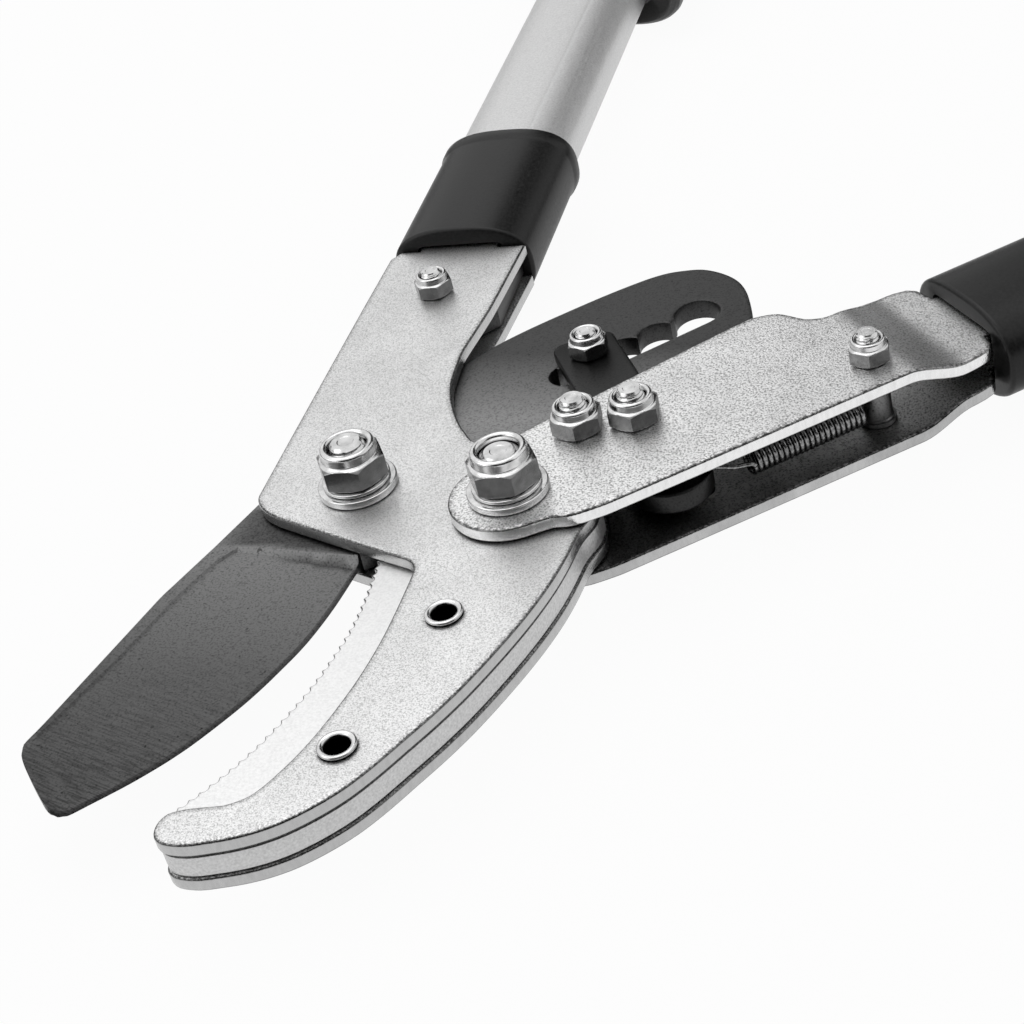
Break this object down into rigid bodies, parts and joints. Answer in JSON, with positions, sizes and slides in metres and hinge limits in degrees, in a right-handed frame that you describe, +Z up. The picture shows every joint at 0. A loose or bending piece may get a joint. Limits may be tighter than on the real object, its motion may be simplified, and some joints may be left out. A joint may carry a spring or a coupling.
{
  "type": "ratchet anvil lopper",
  "caption": "Long-handled lopper: a blade with a notched ratchet tail closes on a serrated anvil, driven by a lever and a sprung link, with telescopic handles.",
  "frame": {"origin": "on the lever pivot's axis, at the lower face of its bolt head, which the tool lies on", "axes": "+Y along the anvil handle's axis towards the jaw tips, +Z up along the pivots, +X towards the blade's side"},
  "size_m": [0.5965, 0.7309, 0.0363],
  "materials": {
    "zinc": "bright zinc plating",
    "plate_zinc": "grainy zinc plating on stamped steel",
    "dark_steel": "dark heat-treated steel",
    "anvil": "pale cast metal",
    "spring_steel": "dark spring wire",
    "aluminium": "drawn tube",
    "rubber": "matt black",
    "black_plastic": "moulded",
    "grey_plastic": "moulded",
    "black_paint": "satin black paint"
  },
  "bodies": {
    "anvil_head": {"anvil_plate_top": "plate_zinc", "anvil_plate_bottom": "plate_zinc", "anvil_insert": "anvil", "eyelet_rivet_heel": "zinc", "eyelet_rivet_tip": "zinc", "tang_spacer": "black_plastic", "blade_pivot_bolt": "zinc", "blade_pivot_nut": "zinc", "blade_pivot_washer_top": "zinc", "blade_pivot_washer_bottom": "zinc", "blade_pivot_thin_washer": "zinc", "lever_pivot_bolt": "zinc", "lever_pivot_nut": "zinc", "lever_pivot_washer_top": "zinc", "lever_pivot_washer_bottom": "zinc", "lever_pivot_thin_washer": "zinc", "tang_bolt": "zinc", "tang_nut": "zinc", "anvil_front_sleeve": "rubber", "anvil_inner_tube": "aluminium", "anvil_tube_pin": "zinc"},
    "blade": {"blade": "dark_steel"},
    "lever": {"lever_plate_top": "plate_zinc", "lever_plate_bottom": "plate_zinc", "lever_tang_spacer": "black_plastic", "link_pivot_bolt": "zinc", "link_pivot_nut": "zinc", "stop_bolt": "zinc", "stop_nut": "zinc", "spring_anchor_bolt": "zinc", "spring_anchor_nut": "zinc", "spring_anchor_sleeve": "dark_steel", "return_spring": "spring_steel", "lever_front_sleeve": "rubber", "lever_inner_tube": "aluminium", "lever_tube_pin": "zinc"},
    "link": {"link_plate_top": "dark_steel", "link_plate_bottom": "dark_steel", "link_tail_block": "dark_steel", "link_pin_bolt": "zinc", "link_pin_nut": "zinc", "link_pin_bush": "dark_steel"},
    "anvil_extension": {"anvil_lock_collar": "black_plastic", "anvil_outer_tube": "black_paint", "anvil_grip": "rubber", "anvil_end_cap": "black_plastic"},
    "lever_extension": {"lever_lock_collar": "black_plastic", "lever_outer_tube": "black_paint", "lever_grip": "rubber", "lever_end_cap": "black_plastic"},
    "anvil_button": {"anvil_lock_button": "grey_plastic"},
    "lever_button": {"lever_lock_button": "grey_plastic"}
  },
  "joints": [
    {"name": "lever_swing", "type": "hinge", "parent": "anvil_head", "child": "lever", "pos_m": [0, 0, 0.0163], "axis": [0, 0, 1], "range_deg": [-14, 22]},
    {"name": "blade_swing", "type": "hinge", "parent": "anvil_head", "child": "blade", "pos_m": [0.0352, -0.0078, 0.0163], "axis": [0, 0, 1], "range_deg": [-7.4, 11.6]},
    {"name": "link_swing", "type": "hinge", "parent": "lever", "child": "link", "pos_m": [-0.02124, -0.02369, 0.0163], "axis": [0, 0, 1], "range_deg": [-21.2, 13.5], "deforming": ["return_spring"]},
    {"name": "anvil_telescope", "type": "slide", "parent": "anvil_head", "child": "anvil_extension", "axis": [0, -1, 0], "range_m": [-0.06, 0.22]},
    {"name": "lever_telescope", "type": "slide", "parent": "lever", "child": "lever_extension", "axis": [-0.7902, -0.6129, 0], "range_m": [-0.06, 0.22]},
    {"name": "anvil_button_press", "type": "slide", "parent": "anvil_extension", "child": "anvil_button", "axis": [1, 0, 0], "range_m": [-0.0024, 0], "stiffness_N_per_m": 400},
    {"name": "lever_button_press", "type": "slide", "parent": "lever_extension", "child": "lever_button", "axis": [-0.6129, 0.7902, 0], "range_m": [-0.0024, 0], "stiffness_N_per_m": 400}
  ],
  "couplings": [
    {"joint": "blade_swing", "follows": "lever_swing", "ratio": 0.525},
    {"joint": "link_swing", "follows": "lever_swing", "ratio": -0.96}
  ]
}
